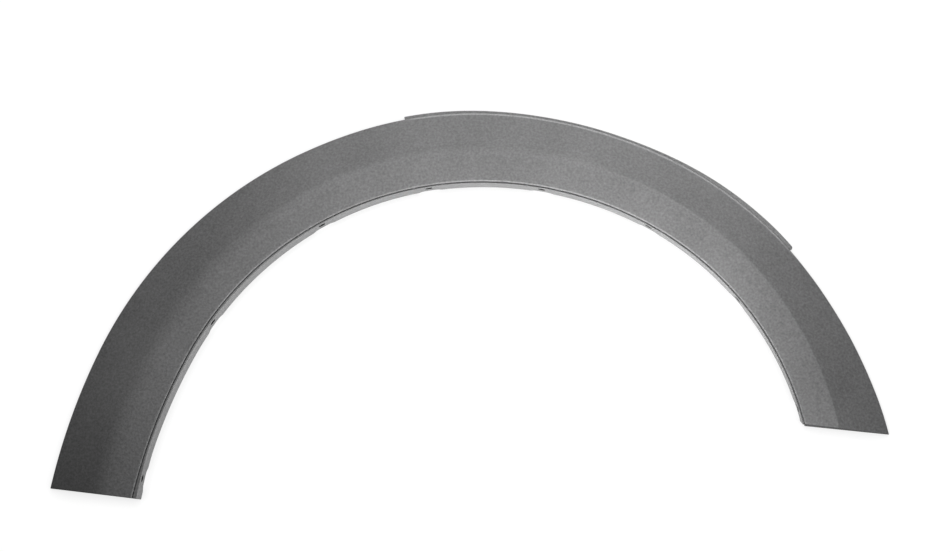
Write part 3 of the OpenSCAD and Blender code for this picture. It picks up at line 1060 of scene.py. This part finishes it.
def hole_shape(angle):
    """Cutter for one hole: round, square to the wall, with a chamfer where it shows."""
    face = settings().face_section
    flange = settings().flange_section
    cuts = settings().fastener_cuts
    radius = cuts.hole_diameter / 2
    bead_height = face.depth - flange.bead_drop
    wall_x = -set_in(angle) - flange.draft * (1 - cuts.hole_height / bead_height)
    profile = [
        (-CUT_IN, radius + cuts.hole_chamfer), (wall_x, radius + cuts.hole_chamfer),
        (wall_x + cuts.hole_chamfer, radius), (HOLE_CUT_OUT, radius),
    ]
    turns = [2 * np.pi * i / HOLE_SIDES for i in range(HOLE_SIDES)]
    rings = [[(x, r * cos(a), cuts.hole_height + r * sin(a)) for a in turns] for x, r in profile]
    return placed(skinned(rings), at_wall(angle))


def notch_shape(angle):
    """Cutter for the notch in the free edge at one hole, its corners rounded."""
    cuts = settings().fastener_cuts
    half = cuts.notch_length / 2
    just_below = -BELOW_SHARE * CLEAR
    rounding = NOTCH_ROUND_SHARE * cuts.notch_round
    spots = [
        (-half - cuts.notch_round, just_below), (-half, just_below),
        (cuts.notch_height - half, cuts.notch_height),
    ]
    spots += [(-x, z) for x, z in reversed(spots)]
    points = [np.array([p]) for p in spots]
    outline = [(spots[0][0], -CLEAR), spots[0]]
    for before, at, after in zip(points, points[1:], points[2:]):
        outline += [tuple(p[0]) for p in corner(before, at, after, rounding, steps=5)]
    outline += [spots[-1], (spots[-1][0], -CLEAR)]
    return placed(prism(outline, -CUT_IN, NOTCH_CUT_OUT), at_wall(angle) @ ALONG)


def corner_shape():
    """Cutter for the flange's lower corner at the short leg's foot."""
    edges = settings().arch_edges
    flange = settings().flange_section
    height = edges.short_foot
    foot = inner_reach(np.arcsin(height / inner_reach(np.arcsin(height / edges.crown_radius))))
    foot_x = np.sqrt(foot**2 - height**2)
    outline = [
        (-CLEAR, -CLEAR), (flange.corner_length, -CLEAR), (flange.corner_length, 0),
        (0, flange.corner_height), (-CLEAR, flange.corner_height),
    ]
    thickness = 2 * flange.flange_wall + flange.corner_length
    place = Matrix.Translation((foot_x, height, 0)) @ ALONG
    return placed(prism(outline, -thickness, CLEAR), place)


class ARCHTRIM_OT_fastener_cuts(Operator):
    """Cut the fastener holes through the flange and a notch in its free edge at each"""

    bl_idname = "archtrim.fastener_cuts"
    bl_label = "Cut the Holes and Notches"

    def execute(self, context):
        add_to_piece("hole_tool", [hole_shape(angle) for angle in HOLE_ANGLES], "DIFFERENCE")
        add_to_piece("notch_tool", [notch_shape(angle) for angle in HOLE_ANGLES], "DIFFERENCE")
        add_to_piece("corner_tool", [corner_shape()], "DIFFERENCE")
        return {"FINISHED"}


# Numbers of the mix node's two colours and two values among its inputs, and of its mixed colour
MIX_COLOURS, MIX_VALUES, MIX_COLOUR_OUT = (6, 7), (2, 3), 2
# Stored tone below which the plastic is plain, without grain
PLAIN_BELOW = 0.99


class NodeTree:
    """Adds nodes to a material or a world and joins them."""

    def __init__(self, owner):
        owner.use_nodes = True
        self.tree = owner.node_tree
        self.tree.nodes.clear()

    def add(self, kind, inputs=None, **values):
        """A node with its own values, and its inputs set or joined by name or number."""
        node = self.tree.nodes.new(kind)
        for key, value in values.items():
            setattr(node, key, value)
        for key, value in (inputs or {}).items():
            if isinstance(value, bpy.types.NodeSocket):
                self.tree.links.new(value, node.inputs[key])
            else:
                node.inputs[key].default_value = value
        return node

    def maths(self, operation, first, second):
        """The result of one step of arithmetic."""
        return self.add("ShaderNodeMath", {0: first, 1: second}, operation=operation).outputs[0]

    def spread(self, value, low, high):
        """A value from 0 to 1 spread from low to high."""
        inputs = {"Value": value, "To Min": low, "To Max": high}
        return self.add("ShaderNodeMapRange", inputs).outputs[0]

    def noise(self, place, size, detail):
        """Noise whose spots are about a size across."""
        inputs = {"Vector": place, "Scale": 1 / size, "Detail": detail}
        return self.add("ShaderNodeTexNoise", inputs).outputs["Fac"]

    def stored(self, name):
        """A tone that the mesh stores under a name."""
        return self.add("ShaderNodeAttribute", attribute_name=name).outputs["Fac"]

    def openness(self, distance):
        """Share of the view from a surface that nothing closes off within a distance."""
        return self.add("ShaderNodeAmbientOcclusion", {"Distance": distance}).outputs["AO"]


def grained_plastic():
    """Dark grey plastic: mottled and grained in front, with painted highlights at its edges, plain
    and painted darker behind, at its feet and in its bores.
    """
    finish = settings().grained_plastic
    material = bpy.data.materials.new("grained_plastic")
    tree = NodeTree(material)
    place = tree.add("ShaderNodeTexCoord").outputs["Object"]
    painted_shade_and_plain = tree.stored(SHADE_AND_PLAIN)
    plain = tree.maths("LESS_THAN", painted_shade_and_plain, PLAIN_BELOW)
    spots = tree.noise(place, finish.mottle_size, detail=3)
    clouds = tree.noise(place, finish.cloud_size, detail=2)
    mottling = tree.maths(
        "ADD", tree.maths("MULTIPLY", spots, 1 - CLOUD_SHARE),
        tree.maths("MULTIPLY", clouds, CLOUD_SHARE))
    tone = tree.spread(mottling, 1 - 2 * finish.mottle, 1 + 2 * finish.mottle)
    # The stored painted highlights and painted shade multiply the mottled tone
    painted_light_tone = tree.maths("MULTIPLY", tree.stored(EDGE_HIGHLIGHT), painted_shade_and_plain)
    tone = tree.maths("MULTIPLY", tone, painted_light_tone)
    colour = tree.add(
        "ShaderNodeMix", {"Factor": 1.0, MIX_COLOURS[0]: (*finish.colour, 1), MIX_COLOURS[1]: tone},
        data_type="RGBA", blend_type="MULTIPLY").outputs[MIX_COLOUR_OUT]
    pits = tree.add(
        "ShaderNodeTexVoronoi", {"Vector": place, "Scale": 1 / finish.grain_size},
        feature="SMOOTH_F1").outputs["Distance"]
    ripples = tree.noise(place, finish.grain_size * RIPPLE_SPACING, detail=2)
    bump = tree.add("ShaderNodeBump", {
        "Strength": tree.spread(plain, 1, 0), "Distance": finish.grain_depth,
        "Height": tree.maths("ADD", pits, ripples),
    }).outputs["Normal"]
    grained = tree.spread(
        spots, finish.roughness - ROUGHNESS_SPREAD, finish.roughness + ROUGHNESS_SPREAD)
    rough = tree.add("ShaderNodeMix", {
        "Factor": plain, MIX_VALUES[0]: grained, MIX_VALUES[1]: finish.back_roughness,
    }).outputs[0]
    shader = tree.add("ShaderNodeBsdfPrincipled", {
        "Base Color": colour, "Roughness": rough, "Normal": bump,
        "Specular IOR Level": 0.5, "Sheen Weight": 0.08, "Sheen Roughness": 0.5,
    })
    tree.add("ShaderNodeOutputMaterial", {"Surface": shader.outputs[0]})
    return material


def round_wheel(places):
    """Direction from the wheel centre, distance from it and height of a row of points."""
    plan = places[:, :2] - np.array(wheel_centre()[:2])
    angle = np.arctan2(plan[:, 1], plan[:, 0])
    return np.where(angle < -np.pi / 2, angle + 2 * np.pi, angle), np.hypot(*plan.T), places[:, 2]


def on_foot_wall(places, outlooks):
    """Whether each face of a row, given by its middle and normal, ends a foot on the outside."""
    x, y = (places[:, :2] - np.array(wheel_centre()[:2])).T
    cut = np.where(x > 0, short_foot_line(x), long_foot_line(x))
    faces_down = outlooks[:, 1] < FACES_DOWN
    return faces_down & (y < cut + settings().arch_edges.foot_wall / 2)


def painted_shades_and_plain(places, outlooks):
    """Tone of each face: 1 in front; painted shade makes it darker on the back inside the channel and
    on the foot walls, and darkest on the walls of holes and notches.
    """
    face = settings().face_section
    flange = settings().flange_section
    finish = settings().grained_plastic
    angle, distance, height = round_wheel(places)
    run = distance - inner_reach(angle)
    inside_rim = distance < outer_reach(angle) - face.rim_wall / 2
    behind_face = (run > PAST_GROOVE) & inside_rim & (
        height < face_height(angle, run) - face.wall / 2)
    bead_top = face.depth - flange.bead_drop
    into_flange = run + set_in(angle) + flange.draft * (1 - height / bead_top)
    below_groove = height < face.depth - flange.groove_depth - 2 * PAST_GROOVE
    above_edge = height > flange.free_round
    in_flange = (into_flange > PAST_SURFACE) & (run <= PAST_GROOVE) & below_groove & above_edge
    in_wall = in_flange & (into_flange < flange.flange_wall - PAST_GROOVE)
    # Painted shade on the foot walls, on the walls of holes and notches, and on the back
    return np.select(
        [on_foot_wall(places, outlooks), in_wall, behind_face | in_flange],
        [finish.painted_back_shade, finish.painted_bore_shade, finish.painted_back_shade], 1.0)


def painted_edge_highlights(places):
    """Tone at each point: a painted highlight along the inner edge's rounding and along the rim below
    the ledge.
    """
    face = settings().face_section
    finish = settings().grained_plastic
    angle, distance, height = round_wheel(places)

    def highlighted(edge_distance, edge_height, fade, rounding):
        away = np.hypot(distance - edge_distance, height - edge_height)
        return 1 - ease(fade[0] * rounding, fade[1] * rounding, away)

    inner = highlighted(inner_reach(angle), face.depth, INNER_HIGHLIGHT_FADE, face.edge_round)
    crown = rise(CROWN_HIGHLIGHT_IN, angle) - rise(CROWN_HIGHLIGHT_OUT, angle)
    inner *= LEG_HIGHLIGHT * (1 - rise(LONG_LEG_HIGHLIGHT_OUT, angle)) + (1 - LEG_HIGHLIGHT) * crown
    rim = highlighted(outer_reach(angle), face.rim_height, RIM_HIGHLIGHT_FADE, face.rim_round)
    rim *= rise(RIM_HIGHLIGHT_IN, angle) - rise(RIM_HIGHLIGHT_OUT, angle)
    return 1 + (finish.painted_edge_highlight - 1) * inner + (finish.painted_rim_highlight - 1) * rim


def rows_of(items, name):
    """One vector of each of a mesh's faces or points, as rows."""
    values = np.empty(3 * len(items))
    items.foreach_get(name, values)
    return values.reshape(-1, 3)


def mark_surfaces(mesh):
    """Stores on the mesh its painted shade on the back, feet and bores, where it is plain, and its
    painted edge highlights.
    """
    shades = painted_shades_and_plain(rows_of(mesh.polygons, "center"), rows_of(mesh.polygons, "normal"))
    highlighted = painted_edge_highlights(rows_of(mesh.vertices, "co"))
    for name, domain, tones in ((SHADE_AND_PLAIN, "FACE", shades), (EDGE_HIGHLIGHT, "POINT", highlighted)):
        mesh.attributes.new(name, "FLOAT", domain).data.foreach_set("value", tones)


class ARCHTRIM_OT_finish(Operator):
    """Smooth the moulding's curved faces, give it its plastic and set it in the frame"""

    bl_idname = "archtrim.finish"
    bl_label = "Finish the Plastic"

    def execute(self, context):
        piece = moulding()
        mesh = piece.data
        mesh.polygons.foreach_set("use_smooth", [True] * len(mesh.polygons))
        mesh.set_sharp_from_angle(angle=SHARP_FROM)
        mark_surfaces(mesh)
        mesh.materials.clear()
        mesh.materials.append(grained_plastic())
        normals = piece.modifiers.new("Even shading", "WEIGHTED_NORMAL")
        normals.keep_sharp = True
        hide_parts("arch_trim")
        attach(piece, "root")
        return {"FINISHED"}


def by_ray(tree, camera, glossy, diffuse):
    """A value that depends on whether the camera, a reflection or soft light meets a surface."""
    path = tree.add("ShaderNodeLightPath").outputs
    seen = tree.maths("MULTIPLY", path["Is Camera Ray"], camera - diffuse)
    mirrored = tree.maths("MULTIPLY", path["Is Glossy Ray"], glossy - diffuse)
    return tree.maths("ADD", tree.maths("ADD", seen, mirrored), diffuse)


def white_floor():
    """White floor that keeps the lamps' shadows, with painted shadow in its glow close to and under
    the moulding.
    """
    studio = settings().studio_set
    material = bpy.data.materials.new("white_floor")
    tree = NodeTree(material)
    tone = by_ray(tree, studio.floor_lit, studio.floor_mirrored, studio.floor_albedo)
    lit = tree.add("ShaderNodeBsdfDiffuse", {"Color": tone})
    # Painted shadow: the floor's glow is darkened where the moulding closes it in, and dark under it
    contact = tree.spread(tree.openness(studio.contact_reach), 1 - studio.contact_shade, 1)
    uncovered = tree.add("ShaderNodeMapRange", {
        "Value": tree.openness(studio.cover_reach), "From Min": COVERED, "From Max": OPEN,
    }).outputs[0]
    shade = tree.maths("MULTIPLY", contact, uncovered)
    white = tree.maths("MULTIPLY", shade, by_ray(tree, studio.floor_white, 0, 0))
    glow = tree.add("ShaderNodeEmission", {"Strength": white})
    both = tree.add("ShaderNodeAddShader", {0: lit.outputs[0], 1: glow.outputs[0]})
    tree.add("ShaderNodeOutputMaterial", {"Surface": both.outputs[0]})
    return material


def lay_floor():
    """The floor, level with the moulding's fender side."""
    half = settings().studio_set.floor_size / 2
    mesh = bpy.data.meshes.new("studio_floor")
    level = TRIM_LOW.z
    mesh.from_pydata(
        [(-half, -half, level), (half, -half, level), (half, half, level), (-half, half, level)],
        [], [(0, 1, 2, 3)])
    mesh.materials.append(white_floor())
    floor = bpy.data.objects.new("studio_floor", mesh)
    settings().collection.objects.link(floor)


def light_sky():
    """Soft light from all round, and a white background behind the floor."""
    world = bpy.data.worlds.new("studio_sky")
    settings().world = world
    tree = NodeTree(world)
    sky = settings().studio_set.sky
    strength = by_ray(tree, 1.0, sky, sky)
    glow = tree.add("ShaderNodeBackground", {"Color": (1, 1, 1, 1), "Strength": strength})
    tree.add("ShaderNodeOutputWorld", {"Surface": glow.outputs[0]})


def hang_lamps():
    """The soft lamps, all aimed at one place over the middle of the moulding."""
    for lamp in LAMPS:
        light = bpy.data.lights.new(lamp.name, "AREA")
        light.shape = "SQUARE"
        light.size = lamp.size
        light.energy = lamp.power
        hung = bpy.data.objects.new(lamp.name, light)
        hung.location = lamp.place
        hung.visible_camera = False
        hung.rotation_euler = (LAMP_AIM - lamp.place).to_track_quat("-Z", "Y").to_euler()
        settings().collection.objects.link(hung)


def set_camera():
    """The camera above the floor, looking down on the moulding."""
    studio = settings().studio_set
    camera = bpy.data.cameras.new("studio_camera")
    camera.lens = studio.lens
    camera.sensor_width = SENSOR_WIDTH
    camera.sensor_fit = "HORIZONTAL"
    place = Vector(studio.camera_place)
    forward = (Vector(studio.camera_aim) - place).normalized()
    up_hint = Vector((-sin(studio.camera_roll), cos(studio.camera_roll), 0))
    right = forward.cross(up_hint).normalized()
    up = right.cross(forward)
    turned = Matrix((right, up, -forward)).transposed().to_4x4()
    stood = bpy.data.objects.new("studio_camera", camera)
    stood.matrix_world = Matrix.Translation(place) @ turned
    settings().collection.objects.link(stood)
    settings().camera = stood


class ARCHTRIM_OT_stage(Operator):
    """Lay the floor, hang the lamps and set up the camera"""

    bl_idname = "archtrim.stage"
    bl_label = "Set the Stage"

    def execute(self, context):
        lay_floor()
        light_sky()
        hang_lamps()
        set_camera()
        context.scene.view_settings.view_transform = "Standard"
        return {"FINISHED"}


class ARCHTRIM_PT_panel(Panel):
    """The settings and steps of the wheel arch trim"""

    bl_idname = "ARCHTRIM_PT_panel"
    bl_label = "Wheel Arch Trim"
    bl_space_type = "VIEW_3D"
    bl_region_type = "UI"
    bl_category = "Arch Trim"

    def draw(self, context):
        for step in STEPS:
            self.layout.operator(step.bl_idname)
        for name, group in SETTINGS.items():
            box = self.layout.box()
            box.label(text=group.__doc__)
            for size in group.__annotations__:
                box.prop(getattr(context.scene, name), size)


SETTINGS = {
    "arch_edges": ArchEdges,
    "face_section": FaceSection,
    "flange_section": FlangeSection,
    "fastener_cuts": FastenerCuts,
    "overlap_ledge": OverlapLedge,
    "clip_seats": ClipSeats,
    "grained_plastic": GrainedPlastic,
    "studio_set": StudioSet,
}
STEPS = [
    ARCHTRIM_OT_band,
    ARCHTRIM_OT_ledge,
    ARCHTRIM_OT_gussets,
    ARCHTRIM_OT_clip_seats,
    ARCHTRIM_OT_fastener_cuts,
    ARCHTRIM_OT_finish,
    ARCHTRIM_OT_stage,
]


def register():
    """Makes the settings, the steps and the panel known to Blender."""
    for made in (*SETTINGS.values(), *STEPS, ARCHTRIM_PT_panel):
        bpy.utils.register_class(made)
    for name, group in SETTINGS.items():
        setattr(bpy.types.Scene, name, PointerProperty(type=group))


def unregister():
    """Takes them out again, last first."""
    for name in SETTINGS:
        delattr(bpy.types.Scene, name)
    for made in reversed((*SETTINGS.values(), *STEPS, ARCHTRIM_PT_panel)):
        bpy.utils.unregister_class(made)


def main():
    """Builds the trim and its stage, step by step."""
    register()
    bpy.ops.archtrim.band()
    bpy.ops.archtrim.ledge()
    bpy.ops.archtrim.gussets()
    bpy.ops.archtrim.clip_seats()
    bpy.ops.archtrim.fastener_cuts()
    bpy.ops.archtrim.finish()
    bpy.ops.archtrim.stage()


if __name__ == "__main__":
    main()
